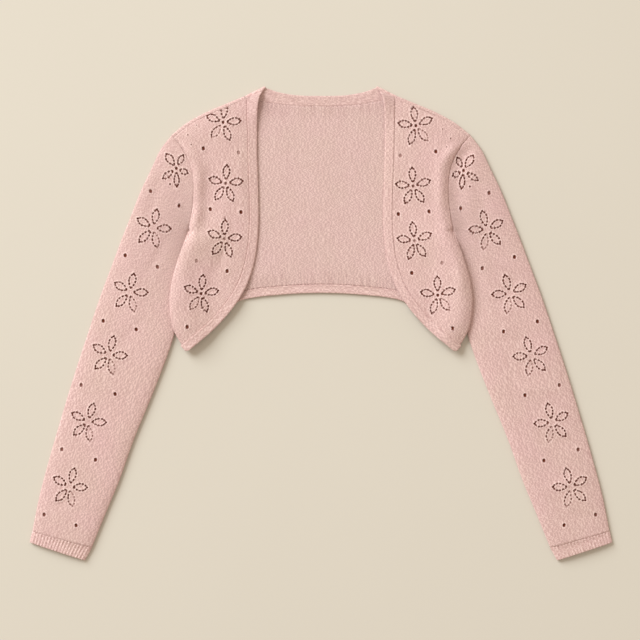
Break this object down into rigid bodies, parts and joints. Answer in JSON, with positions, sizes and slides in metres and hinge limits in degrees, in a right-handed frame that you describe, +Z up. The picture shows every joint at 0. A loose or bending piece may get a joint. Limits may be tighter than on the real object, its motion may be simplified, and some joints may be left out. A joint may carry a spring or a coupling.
{
  "type": "knitted shrug",
  "caption": "Cropped open-front knitted shrug laid flat, face up, with long sleeves spread, openwork flowers, ribbed cuffs and narrow edge bands.",
  "frame": {"origin": "on the surface that the shrug rests on, under the middle of its outline", "axes": "+X across the garment from the sleeve at -X to the sleeve at +X, +Y from the cuffs up to the neck, +Z up out of the surface"},
  "size_m": [0.7844, 0.6373, 0.0108],
  "materials": {
    "panel_knit": "matt fine plain knit in dusty pink",
    "rib_knit": "matt one-by-one rib in dusty pink",
    "band_knit": "matt doubled plain knit in dusty pink"
  },
  "bodies": {
    "root": {"back": "panel_knit", "front_left": "panel_knit", "front_right": "panel_knit", "sleeve_left": "panel_knit", "sleeve_right": "panel_knit", "cuff_left": "rib_knit", "cuff_right": "rib_knit", "front_band_left": "band_knit", "front_band_right": "band_knit", "neck_band": "band_knit", "hem_band": "band_knit"}
  },
  "joints": []
}
